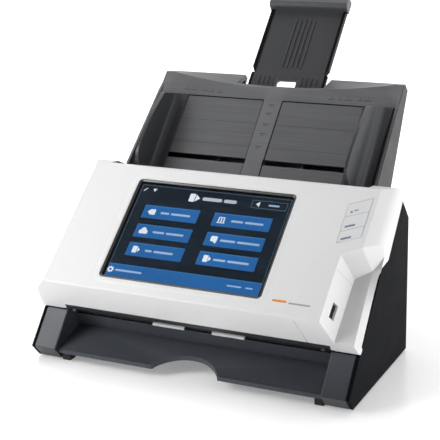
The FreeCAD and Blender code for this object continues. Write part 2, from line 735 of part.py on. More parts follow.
def inner_frame():
    """Dark carrier behind the cover: upper paper guide and ribs."""
    width = 127.0
    sheet = side(PATH, [(6, 1.0), (6, 3.5), (114.6, 3.5), (116.5, 1.0)],
                 -width, width)
    wall = side(WORLD, [(36.2, 128.4), (33.6, 128.4), (30.4, 148.0),
                        (30.8, 149.9), (33.0, 149.9)], -width, width)
    rib_line = [(-41.0, 49.2), (33.9, 127.4), (30.6, 147.0), (21.5, 141.1),
                (-61.5, 72.0), (-56.0, 56.0)]
    ribs = [side(WORLD, rib_line, x - 1.2, x + 1.2)
            for x in (-125.8, -60.0, 60.0, 125.8)]
    body = joined([sheet, wall] + ribs)
    tools = [block(PATH, (-SENSOR_X - .4, SENSOR_X + .4),
                   (SENSOR_S[0] - .4, SENSOR_S[1] + .4), (0, 20)),
             block(FACE, (120, 130), (5, 35), (-19.3, -16.3))]
    for name in ("drive", "exit"):
        s, h, radius = NIPS[name]
        tools.append(rod(PATH, s, h, 1.5 + RUN_FIT, -140, 140))
        for left, right in tyre_spans(name):
            tools.append(block(PATH, (left - 1, right + 1),
                               (s - radius - .6, s + radius + .6), (0, 9)))
    s, h, radius = NIPS["retard"]
    tools.append(block(PATH, (-23, 23), (s - radius - 1, s + radius + 1),
                       (0, 20)))
    body = carve(body, tools)
    arms = [side(PATH, [(s - 9, 3.0), (s - 5, h + 5), (s + 5, h + 5),
                        (s + 8, 3.0)], x, x + 2.4) for x in (23.4, -25.8)]
    return joined([body] + arms).cut(rod(PATH, s, h, 2 + RUN_FIT, -30, 30))


def nip_roller(name):
    s, h, radius = NIPS[name]
    pieces = [rod(PATH, s, h, 1.5, -127.2, 127.2)]
    pieces += [rod(PATH, s, h, radius, left + 1, right - 1)
               for left, right in tyre_spans(name)]
    return joined(pieces)


def retard_roller():
    s, h, _ = NIPS["retard"]
    return joined([rod(PATH, s, h, 2.0, -26.5, 26.5),
                   rod(PATH, s, h, 4.0, -22, 22)])


def retard_sleeve():
    s, h, radius = NIPS["retard"]
    return ring(PATH, s, h, 4.0, radius, -20, 20)


def display_carrier():
    """Black tray that holds the glass and the panel."""
    outer = rounded_block(FACE, (-96, 76), (8.5, 128.5), (-9.4, -2.6), 3)
    step = rounded_block(FACE, (DISPLAY_X[0] + .1, DISPLAY_X[1] - .1),
                         (DISPLAY_S[0] + .1, DISPLAY_S[1] - .1),
                         (-3.0, -2.35), 3.6)
    pit = block(FACE, (VIEW_X[0] - .2, VIEW_X[1] + .2),
                (VIEW_S[0] - .2, VIEW_S[1] + .2), (-7.4, 0))
    return joined([outer, step]).cut(pit)


def display_glass():
    return plan(FACE, [(DISPLAY_X[0], DISPLAY_S[0], 3.6),
                       (DISPLAY_X[1], DISPLAY_S[0], 3.6),
                       (DISPLAY_X[1], DISPLAY_S[1], 3.6),
                       (DISPLAY_X[0], DISPLAY_S[1], 3.6)], -2.3, -1.2)


def display_board():
    board = block(FACE, (-78, 60), (24, 112), (-11.9, -10.4))
    chips = [block(FACE, (-30, -4), (50, 74), (-14.0, -11.9)),
             block(FACE, (12, 24), (56, 68), (-13.2, -11.9)),
             block(FACE, (36, 56), (84, 106), (-15.4, -11.9))]
    spacers = [peg(FACE, x, s, 2.2, -10.4, -9.5)
               for x in (-72, 54) for s in (30, 106)]
    return joined([board] + chips + spacers)


def key(index):
    """Key cap with its flange and stem."""
    low, high = KEY_STARTS[index:index + 2]
    cap = plan(FACE, key_outline(low, high, 0.25), -3.4, 0.35)
    rim = [e for e in cap.Edges
           if FACE.inverse().multVec(e.CenterOfMass).z > 0.3]
    cap = cap.makeFillet(0.3, rim)
    middle = (low + high) / 2 + KEY_LEAN * (KEY_X[1] - KEY_X[0]) / 2
    flange = block(FACE, (KEY_X[0] - 1.2, KEY_X[1] + 0.8),
                   (middle - 1.5, middle + 1.5), (-4.4, -3.4))
    stem = peg(FACE, 132.0, middle, 2.2, -8.0, -3.4)
    return joined([cap, flange, stem])


def key_board():
    board = block(FACE, (116, 139), (82, 126), (-11.4, -10.0))
    switches = []
    for low, high in zip(KEY_STARTS, KEY_STARTS[1:]):
        middle = (low + high) / 2 + KEY_LEAN * (KEY_X[1] - KEY_X[0]) / 2
        switches.append(block(FACE, (128.5, 135.5),
                              (middle - 3, middle + 3), (-10.0, -9.2)))
    return joined([board] + switches)


def usb_socket():
    shell = block(FACE, (115, 131.9), (11.3, 25.7), (-16.9, -10.3))
    mouth = block(FACE, (117, 133), (11.9, 25.1), (-16.3, -10.9))
    tongue = block(FACE, (116, 131), (13.2, 23.8), (-13.0, -10.9))
    return joined([shell.cut(mouth), tongue])


def usb_board():
    return block(FACE, (92, 131), (6, 34), (-18.7, -17.1))


def exit_tabs():
    finger = side(PATH, [(-8.0, 0.8), (-8.0, 2.4), (-6.8, 3.4), (5.6, 3.4),
                         (5.6, 1.0)], 14.4, 46.6)
    return group(both(finger))


parts["front_cover"] = front_cover()
parts["cover_inner_frame"] = inner_frame()
parts["upper_nip_roller"] = nip_roller("drive")
parts["lower_nip_roller"] = nip_roller("exit")
parts["retard_roller"] = retard_roller()
parts["retard_sleeve"] = retard_sleeve()
parts["front_image_sensor"] = sensor_housing(2.6, 16.0, (0.0, 6.0))
parts["front_sensor_glass"] = block(
    PATH, (-SENSOR_X + .6, SENSOR_X - .6),
    (SENSOR_S[0] + .6, SENSOR_S[1] - .6), (1.4, 2.55))
parts["exit_tabs"] = exit_tabs()
parts["display_carrier"] = display_carrier()
parts["display_glass"] = display_glass()
parts["display_panel"] = block(FACE, VIEW_X, VIEW_S, (-7.0, -2.9))
parts["display_board"] = display_board()
for index, name in enumerate(("lower_key", "middle_key", "power_key")):
    parts[name] = key(index)
parts["key_board"] = key_board()
parts["usb_a_socket"] = usb_socket()
parts["usb_a_board"] = usb_board()
parts["hinge_pins"] = group(both(knuckle(
    HINGE_R, 124.6, FRAME_X + FRAME_T)))

# ----------------------------------------------------------- paper tray

TRAY_OUTLINE = [           # (s, h) of the tray seen from the side
    (129.5, 0.0), (272.0, 0.0), (283.5, -16.0), (283.5, -22.5),
    (178.0, -31.0), (147.0, -22.0), (143.0, -8.0), (129.5, -2.5)]
TRAY_LOW_X, TRAY_TOP_X = 132.2, 128.2   # half width at s 140 and s 283
CHEEK = 2.4
SLOT_X = (9.0, 119.0)      # guide slots, both sides of the middle
SLOT_HALF = 3.0
NOTCH_X = 47.0             # opening for the extension
PINION_R = 9.0
TEETH = 12
RACK_H = (-6.8, -4.2)
TRAY_SCREWS = [(x, s) for s in (235.0, 154.5) for x in (-104.0, 104.0)]


def tray_x(s):
    share = (s - 140.0) / 143.0
    return TRAY_LOW_X + share * (TRAY_TOP_X - TRAY_LOW_X)


def tray_plan(less, low=120.0, high=300.0):
    """Tapered outline of the tray seen square on."""
    return [(-tray_x(high) + less, high), (tray_x(high) - less, high),
            (tray_x(low) - less, low), (-tray_x(low) + less, low)]


def header_scoop():
    """Cuts the dished top of the tray, from an arc to a straight edge."""
    half, low, top, far = 120.0, 259.0, 272.0, 330.0
    arc = Part.Arc(V(-half, top, 0), V(0, low, 0), V(half, top, 0)).toShape()
    rest = Part.makePolygon([V(half, top, 0), V(150, far, 0),
                             V(-150, far, 0), V(-half, top, 0)])
    front = Part.Wire([arc] + rest.Edges)
    line = Part.makeLine(V(-half - 1, 283.5, -16), V(half + 1, 283.5, -16))
    rest = Part.makePolygon([V(half + 1, 283.5, -16), V(150, far, -16),
                             V(-150, far, -16), V(-half - 1, 283.5, -16)])
    back = Part.Wire([line] + rest.Edges)
    return placed(Part.makeLoft([front, back], True, True), PATH)


def side_bevel(grow=0.0):
    """Planes the rear corner away, deep at the top, fading downwards."""
    a = V(tray_x(283.5) - grow, 283.5, -12.0)
    b = V(112.0 - grow, 283.5, -22.5)
    c = V(tray_x(178) - grow, 178.0, -31.0)
    normal = (b - a).cross(c - a).normalize()
    if normal.z > 0:
        normal = normal * -1
    slab = Part.makeBox(400, 400, 60, V(-200, -200, 0))
    slab.Placement = FreeCAD.Placement(
        a, FreeCAD.Rotation(V(0, 0, 1), normal))
    return placed(slab, PATH)


def tray_block():
    """Solid the tray and its back cover are cut from."""
    body = side(PATH, TRAY_OUTLINE, -140, 140)
    body = body.common(plan(PATH, tray_plan(0.0), -40, 5))
    chamfer = plan(PATH, [(123.4, 284.0), (131.0, 284.0), (131.0, 270.0)],
                   -40, 5)
    round_cut = plan(PATH, [(-132.0, 286.0), (-116.0, 286.0),
                            (-116.0, 283.5), (-128.0, 283.5, 7.0),
                            (-128.6, 270.0), (-132.0, 270.0)], -40, 5)
    bevel = side_bevel()
    return carve(body, [chamfer, round_cut, bevel, mirrored(bevel),
                        header_scoop()])


def cheek():
    """Raised edge of the tray beside the paper."""
    line = [(133.0, -3.0), (136.0, 5.0, 3.0), (157.0, 7.2, 8.0),
            (247.0, 1.6, 6.0), (262.0, -0.6), (262.0, -6.0), (143.0, -8.0)]
    strip = side(PATH, line, 120, 140)
    band = plan(PATH, [(tray_x(s) - less, s) for s, less in
                       ((300, CHEEK), (300, 0), (120, 0), (120, CHEEK))],
                -40, 20)
    return strip.common(band)


def tray_inside(gap=0.0):
    """Room between the tray's front plate and its back cover."""
    room = side(PATH, [
        (135.9 + gap, -2.5 - gap), (256.5 - gap, -2.5 - gap),
        (278.5 - gap, -18.4), (278.5 - gap, -50), (157.5 + gap, -50),
        (149.3 + gap, -21.3), (144.9 + gap, -6.2)], -140, 140)
    return room.common(plan(PATH, tray_plan(CHEEK + gap), -60, 5))


def paper_tray():
    """Front plate with slots, sunk bays, tongues and screw posts."""
    body = tray_block()
    room = tray_inside()
    ribs = [side(PATH, [(146.0, -18.0), (146.0, -2.0), (262.0, -2.0),
                        (276.0, -18.0)], x - 1, x + 1)
            for x in (-84, -50, 50, 84)]
    ribs = [rib.common(body) for rib in ribs]
    bays = [block(PATH, (-130, 130), (158, 192), (-60, -2.6))]
    ribs = [carve(rib, bays) for rib in ribs]
    shell = joined([body.cut(room)] + ribs + both(cheek()))
    tools = [block(PATH, (-NOTCH_X, NOTCH_X), (240, 300), (-60, -2.5))]
    tools += both(block(PATH, SLOT_X, (SLOT_S - SLOT_HALF,
                                       SLOT_S + SLOT_HALF), (-4, 1)))
    pocket = plan(PATH, [(9.5, 129.4), (127.3, 129.4), (126.6, 182),
                         (126.0, 245.5, 1.5), (9.5, 245.5, 1.5)], -0.8, 12)
    tools += both(pocket)
    body = carve(shell, tools)
    tongues = [side(PATH, [(118.5, TONGUE_H[0]), (118.5, TONGUE_H[1]),
                           (134.0, TONGUE_H[1]), (134.0, -1.5),
                           (137.0, -1.5), (143.5, TONGUE_H[0])], left, right)
               for left, right in TONGUES]
    boss = peg(PATH, 0, SLOT_S, 3.0, -8.6, -1.5)
    screw_posts = [peg(PATH, x, s, 3.6, -19.5, -1.5).cut(
        peg(PATH, x, s, 1.25, -21, -6)) for x, s in TRAY_SCREWS]
    return joined([body, boss] + tongues + screw_posts)


def tray_back_cover():
    """Closes the tray from behind and carries the extension."""
    outer = tray_block().common(tray_inside(0.2))
    inner = side(PATH, inset(TRAY_OUTLINE, [
        -20, -20, 2.6, 2.4, 2.4, 2.4, -20, -20]), -140, 140)
    bevel = side_bevel(3.4)
    inner = carve(inner, [bevel, mirrored(bevel)])
    skin = outer.cut(inner)
    rails = []
    for x in (-46.0, 43.6):
        rails.append(block(PATH, (x, x + 2.4), (150, 262), (-31, -13.6)))
    floor = block(PATH, (-44, 44), (150, 262), (-22.4, -20.6))
    inside = side(PATH, inset(TRAY_OUTLINE, [0, 0, 1, 1, 1, 1, 0, 0]),
                  -140, 140)
    rails = [rail.common(inside) for rail in rails + [floor]]
    posts = [peg(PATH, x, s, 3.8, -40, -19.7).common(inside)
             for x, s in TRAY_SCREWS]
    mouth = block(PATH, (-NOTCH_X, NOTCH_X), (262, 300), (-60, 0))
    return carve(joined([skin] + rails + posts), [mouth] + [
        peg(PATH, x, s, 1.7, -60, -10) for x, s in TRAY_SCREWS] + [
        peg(PATH, x, s, 3.1, -60, -24.0) for x, s in TRAY_SCREWS])


def tray_screws():
    made = []
    for x, s in TRAY_SCREWS:
        head = peg(PATH, x, s, 2.7, -26.0, -24.0)
        shank = peg(PATH, x, s, 1.25, -24.0, -12.0)
        slot = block(PATH, (x - 1.6, x + 1.6), (s - .4, s + .4), (-26.1, -25.2))
        made.append(joined([head, shank]).cut(slot))
    return group(made)


GUIDE_TOP = [              # (s, h) along the ridge of a guide wall
    (151.0, 29.4), (154.5, 33.0), (160.0, 34.4), (180.0, 33.9),
    (190.0, 33.0), (200.0, 31.8), (210.0, 29.8), (220.0, 27.3),
    (228.0, 25.2)]
GUIDE_FEET = (130.5, 244.6)


def guide_silhouette():
    """Side view of a paper guide: curved ridge, sloping ends."""
    ridge = Part.BSplineCurve()
    ridge.interpolate([V(s, h, 0) for s, h in GUIDE_TOP])
    last = V(*GUIDE_TOP[-1], 0)
    tip = Part.Arc(last, V(231.4, 23.2, 0), V(232.6, 20.6, 0)).toShape()
    start = V(*GUIDE_TOP[0], 0)
    rest = Part.makePolygon([
        V(232.6, 20.6, 0), V(GUIDE_FEET[1], 2.0, 0),
        V(GUIDE_FEET[1], 0.2, 0), V(GUIDE_FEET[0], 0.2, 0),
        V(GUIDE_FEET[0], 7.0, 0), start])
    outline = Part.Wire([ridge.toShape(), tip] + rest.Edges)
    face = Part.Face(outline)
    face.translate(V(0, 0, 80))
    return placed(face.extrude(V(0, 0, 60)), PATH.multiply(TO_SIDE))


def guide_section():
    """Cross-section of the right guide: base, fillet, wall, outer flare."""
    return cross(PATH, [
        (93.8, -0.6), (93.8, 0.7, 0.5), (106.5, 1.2, 7.0), (106.5, 60.0),
        (108.7, 60.0), (109.3, 34.0), (113.4, 14.0, 20.0), (118.0, 5.0, 8.0),
        (124.6, 2.4, 0.8), (124.6, -0.6)], 120, 250)


def right_guide():
    """Hollow paper guide with stiffeners and a stem for its rack."""
    body = guide_section().common(guide_silhouette().fuse(
        block(PATH, (80, 140), GUIDE_FEET, (-0.6, 0.9))))
    hollow = cross(PATH, [
        (104.9, -1.0), (107.0, 2.6, 2.0), (108.4, 20.0, 2.0),
        (111.6, 13.0, 14.0), (116.4, 4.4, 6.0), (122.4, 1.0), (122.4, -1.0)],
        134, 240)
    lid = guide_silhouette()
    lid.translate(PATH.Rotation.multVec(V(0, 0, -2.0)))
    hollow = hollow.common(lid)
    stem = block(PATH, (107.5, 113.5), (SLOT_S - SLOT_HALF + .3,
                                        SLOT_S + SLOT_HALF - .3), (-4.2, 4.0))
    grip = [block(PATH, (105.2, 112.0), (s - 0.8, s + 0.8), (0.0, 22.0))
            for s in (150.0, 200.0, 222.0)]
    core = guide_section().common(guide_silhouette())
    inside = [rib.common(core) for rib in grip]
    post = stem.fuse(block(PATH, (107.2, 113.0),
                           (SLOT_S - 1.8, SLOT_S + 1.8), (0, 12)).common(core))
    return joined([body.cut(hollow)] + inside + [post])


def rack(reverse):
    """Toothed bar under the tray that ties a guide to the pinion."""
    pitch = 2 * math.pi * PINION_R / TEETH
    line = SLOT_S + (-PINION_R if reverse else PINION_R)
    out = -1.0 if reverse else 1.0
    tip, root, back = line - 0.7 * out, line + 1.0 * out, line + 4.6 * out
    sign = 1.0 if reverse else -1.0
    low, high = -8.0, 76.0
    profile = [(low, back), (low, root)]
    count = int((high - low) / pitch) + 2
    for i in range(-2, count):
        middle = (i + 0.5) * pitch
        if middle - 1.4 < low or middle + 1.4 > high:
            continue
        profile += [(middle - 1.2, root), (middle - 0.6, tip),
                    (middle + 0.6, tip), (middle + 1.2, root)]
    profile += [(high, root), (high, back)]
    bar = plan(PATH, [(sign * x, s) for x, s in profile], *RACK_H)
    arm = block(PATH, (70.0, 114.0), sorted((line + 0.6 * out, back)), RACK_H)
    foot = block(PATH, (106.0, 114.0),
                 sorted((SLOT_S - 2.0 * out, back)), RACK_H)
    hook = joined([arm, foot])
    if not reverse:
        hook = mirrored(hook)
    return joined([bar, hook])


def pinion():
    profile = []
    for i in range(TEETH):
        turn = 2 * math.pi * i / TEETH + math.pi / 2
        for offset, radius in ((-0.13, 8.0), (-0.062, 9.6), (0.062, 9.6),
                               (0.13, 8.0)):
            a = turn + offset
            profile.append((radius * math.cos(a), SLOT_S
                            + radius * math.sin(a)))
    wheel = plan(PATH, profile, *RACK_H)
    return wheel.cut(peg(PATH, 0, SLOT_S, 3.0 + RUN_FIT, -20, 5))


EXT_H = (-18.9, -16.2)
EXT_RAIL_H = (-19.5, -14.5)


def tray_extension():
    """Sliding paper support with a raised lip and a grip hole."""
    plate = plan(PATH, [(-38.5, 235.0, 3.0), (-38.5, 368.0), (38.5, 368.0),
                        (38.5, 235.0, 3.0)], *EXT_H)
    lip_line = [(366.0, EXT_H[1]), (367.5, -9.5, 2.0), (371.0, -7.2, 3.0),
                (379.0, -10.0, 4.0), (380.0, EXT_H[0], 2.0),
                (366.0, EXT_H[0])]
    lip = side(PATH, lip_line, -43.0, 43.0)
    ribs = []
    for i in range(5):
        x = -10.25 + 5.125 * i
        ribs.append(rounded_block(PATH, (x - 0.8, x + 0.8), (295, 355),
                                  (-16.3, -15.3), 0.7))
    for i in range(4):
        x = 15.5 + 5.2 * i
        ribs += both(rounded_block(PATH, (x - 0.7, x + 0.7), (271, 284),
                                   (-16.3, -15.5), 0.6))
    hole = rounded_block(PATH, (-10.5, 10.5), (270, 279.6), (-30, 0), 3.0)
    return joined([plate, lip] + ribs).cut(hole)


def extension_rails():
    rail = plan(PATH, [(38.5, 288.0), (41.5, 294.0), (41.5, 366.0),
                       (38.5, 366.0)], *EXT_RAIL_H)
    runner = block(PATH, (38.5, 41.5), (236, 288), EXT_H)
    return group(both(joined([rail, runner])))


parts["paper_tray"] = paper_tray()
parts["tray_back_cover"] = tray_back_cover()
parts["tray_screws"] = tray_screws()
parts["right_paper_guide"] = right_guide()
parts["left_paper_guide"] = mirrored(parts["right_paper_guide"])
parts["right_guide_rack"] = rack(True)
parts["left_guide_rack"] = rack(False)
parts["guide_pinion"] = pinion()
parts["tray_extension"] = tray_extension()
parts["extension_rails"] = extension_rails()


if __name__ == "__main__":
    os.makedirs("parts", exist_ok=True)
    for name, shape in parts.items():
        moved = shape.copy()
        moved.translate(V(0, -MIDDLE_Y, 0))
        moved.exportStep("parts/" + name + ".step")
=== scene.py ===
import math
import bpy
import bmesh
from mathutils import Matrix, Vector


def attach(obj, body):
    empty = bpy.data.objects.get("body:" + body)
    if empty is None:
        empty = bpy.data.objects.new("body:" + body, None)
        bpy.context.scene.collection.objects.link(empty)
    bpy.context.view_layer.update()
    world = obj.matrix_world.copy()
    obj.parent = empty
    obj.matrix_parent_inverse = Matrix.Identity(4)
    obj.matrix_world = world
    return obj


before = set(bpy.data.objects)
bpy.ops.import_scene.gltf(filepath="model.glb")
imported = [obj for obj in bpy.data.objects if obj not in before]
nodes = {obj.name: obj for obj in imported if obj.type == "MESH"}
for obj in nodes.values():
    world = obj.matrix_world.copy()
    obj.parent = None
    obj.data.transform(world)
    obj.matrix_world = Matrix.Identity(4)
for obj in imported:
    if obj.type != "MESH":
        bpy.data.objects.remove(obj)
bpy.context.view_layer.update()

# ------------------------------------------------------------ directions
# Sizes are millimetres in the machine's own drawing and metres in Blender.
MM = 0.001
MIDDLE_Y = 72.41                  # the origin's place in the drawing
FACE_TILT, FACE_Y, FACE_Z = 39.8, -80.06, 78.66      # display face
PATH_TILT, PATH_OFFSET = 46.0, 62.2                  # tray surface
HINGE_Y, HINGE_Z = -59.2, 49.0                       # cover hinge


def slope_frame(tilt, y, z):
    """Matrix from (x, s up the slope, h out of it) in mm to metres."""
    c, s = math.cos(math.radians(tilt)), math.sin(math.radians(tilt))
    rows = ((MM, 0, 0, 0), (0, MM * c, -MM * s, MM * (y - MIDDLE_Y)),
            (0, MM * s, MM * c, MM * z), (0, 0, 0, 1))
    return Matrix(rows)


def path_frame():
    a = math.radians(PATH_TILT)
    return slope_frame(PATH_TILT, -PATH_OFFSET * math.sin(a),
                       PATH_OFFSET * math.cos(a))


FACE = slope_frame(FACE_TILT, FACE_Y, FACE_Z)
PATH = path_frame()
PATH_UP = PATH.to_3x3().col[1].normalized()
HINGE = (0, (HINGE_Y - MIDDLE_Y) * MM, HINGE_Z * MM)
EAR_R, EAR_X = 6.0 * MM, 133.2 * MM   # cover ears: radius, outer side
TRAY_TAPER = 4.0 / 143.0              # half width lost up the slope
TRAY_SKIN = 0.1322 + TRAY_TAPER * (0.140 + PATH.translation.dot(PATH_UP))

# ------------------------------------------------------------- materials
SCALAR, VECTOR = "ShaderNodeMath", "ShaderNodeVectorMath"


class Shader:
    """Small helper that builds a node material."""

    def __init__(self, name):
        self.mat = bpy.data.materials.new(name)
        self.mat.use_nodes = True
        self.tree = self.mat.node_tree
        self.bsdf = self.tree.nodes["Principled BSDF"]
        self.where = self.add("ShaderNodeTexCoord").outputs["Object"]

    def add(self, kind, **settings):
        node = self.tree.nodes.new(kind)
        for key, value in settings.items():
            setattr(node, key, value)
        return node

    def link(self, a, b):
        self.tree.links.new(a, b)

    def feed(self, name, socket):
        """Links a socket to an input of the shader."""
        self.link(socket, self.bsdf.inputs[name])

    def set(self, **values):
        """Sets inputs of the shader that are the same all over."""
        for key, value in values.items():
            self.bsdf.inputs[key.replace("_", " ")].default_value = value

    def maths(self, kind, operation, *inputs):
        """Outputs of a maths node; each input is a socket or a value."""
        node = self.add(kind, operation=operation)
        for socket, value in zip(node.inputs, inputs):
            if isinstance(value, bpy.types.NodeSocket):
                self.link(value, socket)
            else:
                socket.default_value = value
        return node.outputs

    def noise(self, scale, detail=4.0, stretch=(1, 1, 1), rough=0.55):
        source = self.where
        if stretch != (1, 1, 1):
            mapping = self.add("ShaderNodeMapping")
            mapping.inputs["Scale"].default_value = stretch
            self.link(self.where, mapping.inputs["Vector"])
            source = mapping.outputs["Vector"]
        node = self.add("ShaderNodeTexNoise")
        node.inputs["Scale"].default_value = scale
        node.inputs["Detail"].default_value = detail
        node.inputs["Roughness"].default_value = rough
        self.link(source, node.inputs["Vector"])
        return node.outputs["Fac"]

    def ramp(self, fac, stops):
        node = self.add("ShaderNodeValToRGB")
        band = node.color_ramp
        while len(band.elements) < len(stops):
            band.elements.new(0.5)
        for element, (place, colour) in zip(band.elements, stops):
            element.position = place
            element.color = (*colour, 1)
        self.link(fac, node.inputs["Fac"])
        return node.outputs["Color"]

    def spread(self, value, low, high, start=0.0, end=1.0):
        """Maps start..end to low..high and stays inside them."""
        node = self.add("ShaderNodeMapRange")
        for key, number in (("From Min", start), ("From Max", end),
                            ("To Min", low), ("To Max", high)):
            node.inputs[key].default_value = number
        self.link(value, node.inputs["Value"])
        return node.outputs["Result"]

    def mix(self, share, socket, colour):
        """The socket's colour, giving way to colour where share is 1."""
        node = self.add("ShaderNodeMix", data_type="RGBA")
        node.inputs["B"].default_value = (*colour, 1)
        self.link(share, node.inputs["Factor"])
        self.link(socket, node.inputs["A"])
        return node.outputs["Result"]

    def bump(self, height, strength, depth):
        node = self.add("ShaderNodeBump")
        node.inputs["Strength"].default_value = strength
        node.inputs["Distance"].default_value = depth
        self.link(height, node.inputs["Height"])
        self.feed("Normal", node.outputs["Normal"])


def tint(colour, factor):
    return tuple(min(1.0, c * factor) for c in colour)


def moulded(name, colour, rough, grain=900.0, depth=0.00006, vary=0.05,
            edge=0.12, specular=0.5, brushed=0.0, patch=None):
    """Moulded plastic: fine spark texture, faint flow marks, and edges
    lightened by edge, partly wear and partly painted highlight.

    A patch is (place, colour): where place(shader) is 1, colour is used.
    """
    m = Shader(name)
    coat = m.ramp(m.noise(9.0, 3.0), [(0.3, tint(colour, 1 - vary)),
                                      (0.7, tint(colour, 1 + vary))])
    if brushed:
        coat = streaked(m, coat, brushed)
    # convex edges found by pointiness are lightened: part wear, part painted
    # highlight
    edge_wear_and_highlight = m.add("ShaderNodeNewGeometry").outputs["Pointiness"]
    rim = m.ramp(edge_wear_and_highlight, [(0.52, (0, 0, 0)), (0.62, (1, 1, 1))])
    coat = m.mix(rim, coat, tint(colour, 1 + edge))
    if patch:
        place, other = patch
        coat = m.mix(place(m), coat, other)
    m.feed("Base Color", coat)
    m.feed("Roughness", m.spread(m.noise(60.0, 5.0), rough - 0.05,
                                 rough + 0.07))
    m.bump(m.noise(grain, 2.0), 0.35, depth)
    m.set(Specular_IOR_Level=specular)
    return m.mat


def streaked(m, base, amount):
    """Darkens and lightens a colour in fine lines across the machine."""
    lines = m.noise(260.0, 2.0, (0.03, 1, 1), 0.7)
    level = m.ramp(lines, [(0.3, (1 - amount,) * 3),
                           (0.7, (1 + amount,) * 3)])
    mix = m.add("ShaderNodeMix", data_type="RGBA", blend_type="MULTIPLY")
    mix.inputs["Factor"].default_value = 1.0
    m.link(base, mix.inputs["A"])
    m.link(level, mix.inputs["B"])
    return mix.outputs["Result"]


def across(m):
    """Distance from the middle plane of the machine."""
    split = m.add("ShaderNodeSeparateXYZ")
    m.link(m.where, split.inputs["Vector"])
    return m.maths(SCALAR, "ABSOLUTE", split.outputs["X"])["Value"]


def tray_side_painted_shade(m):
    """1 on the tapering outer sides of the tray, 0 elsewhere; there the tray
    is coloured near black as painted shade.
    """
    climb = m.maths(VECTOR, "DOT_PRODUCT", m.where, PATH_UP)["Value"]
    width = m.maths(SCALAR, "MULTIPLY_ADD", climb, TRAY_TAPER, across(m))
    return m.spread(width["Value"], 0, 1, TRAY_SKIN - 0.6 * MM,
                    TRAY_SKIN - 0.3 * MM)


def near_hinge(m):
    """1 on the ears of the cover round its hinge pins."""
    flat = m.maths(VECTOR, "MULTIPLY", m.where, (0, 1, 1))["Vector"]
    reach = m.maths(VECTOR, "DISTANCE", flat, HINGE)["Value"]
    inside = [m.spread(value, 0, 1, limit + 0.2 * MM, limit)
              for value, limit in ((reach, EAR_R), (across(m), EAR_X))]
    return m.maths(SCALAR, "MULTIPLY", *inside)["Value"]


def metal(name, colour, rough):
    """Turned or ground steel with fine lines along X."""
    m = Shader(name)
    lines = m.noise(420.0, 3.0, (0.06, 1, 1))
    m.feed("Base Color", m.ramp(lines, [(0.3, tint(colour, 0.85)),
                                        (0.7, tint(colour, 1.1))]))
    m.feed("Roughness", m.spread(lines, rough - 0.08, rough + 0.1))
    m.bump(lines, 0.15, 0.00003)
    m.set(Metallic=1.0)
    return m.mat


def rubber(name, colour):
    """Dull rubber with a fine matt skin."""
    m = Shader(name)
    m.feed("Base Color", m.ramp(m.noise(30.0), [(0.3, tint(colour, 0.8)),
                                                (0.7, tint(colour, 1.3))]))
    m.bump(m.noise(1400.0, 3.0), 0.4, 0.00008)
    m.set(Roughness=0.75)
    return m.mat


def board(name):
    """Green solder mask with fine copper tracks showing through."""
    m = Shader(name)
    grid = m.add("ShaderNodeTexBrick")
    for key, value in (("Scale", 160.0), ("Mortar Size", 0.03),
                       ("Color1", (0.012, 0.09, 0.045, 1)),
                       ("Color2", (0.016, 0.11, 0.055, 1)),
                       ("Mortar", (0.03, 0.17, 0.08, 1))):
        grid.inputs[key].default_value = value
    m.link(m.where, grid.inputs["Vector"])
    m.feed("Base Color", grid.outputs["Color"])
    m.bump(grid.outputs["Fac"], 0.2, 0.00005)
    m.set(Roughness=0.35)
    return m.mat


def glow(name, colour, strength=1.0, low=None, stretch=(1, 1, 1)):
    """Lit part of the picture, a little uneven like a backlight."""
    m = Shader(name)
    m.feed("Emission Color", m.ramp(m.noise(14.0, 3.0, stretch), [
        (0.35, low or tint(colour, 0.88)), (0.65, colour)]))
    m.set(Base_Color=(0.004, 0.005, 0.007, 1), Roughness=0.5,
          Specular_IOR_Level=0.05, Emission_Strength=strength)
    return m.mat


def clear_glass(name):
    """Glass that has been wiped unevenly."""
    m = Shader(name)
    m.feed("Roughness", m.spread(m.noise(35.0, 4.0), 0.02, 0.06))
    m.set(Transmission_Weight=1.0, IOR=1.3, Base_Color=(0.97, 0.98, 1.0, 1))
    return m.mat


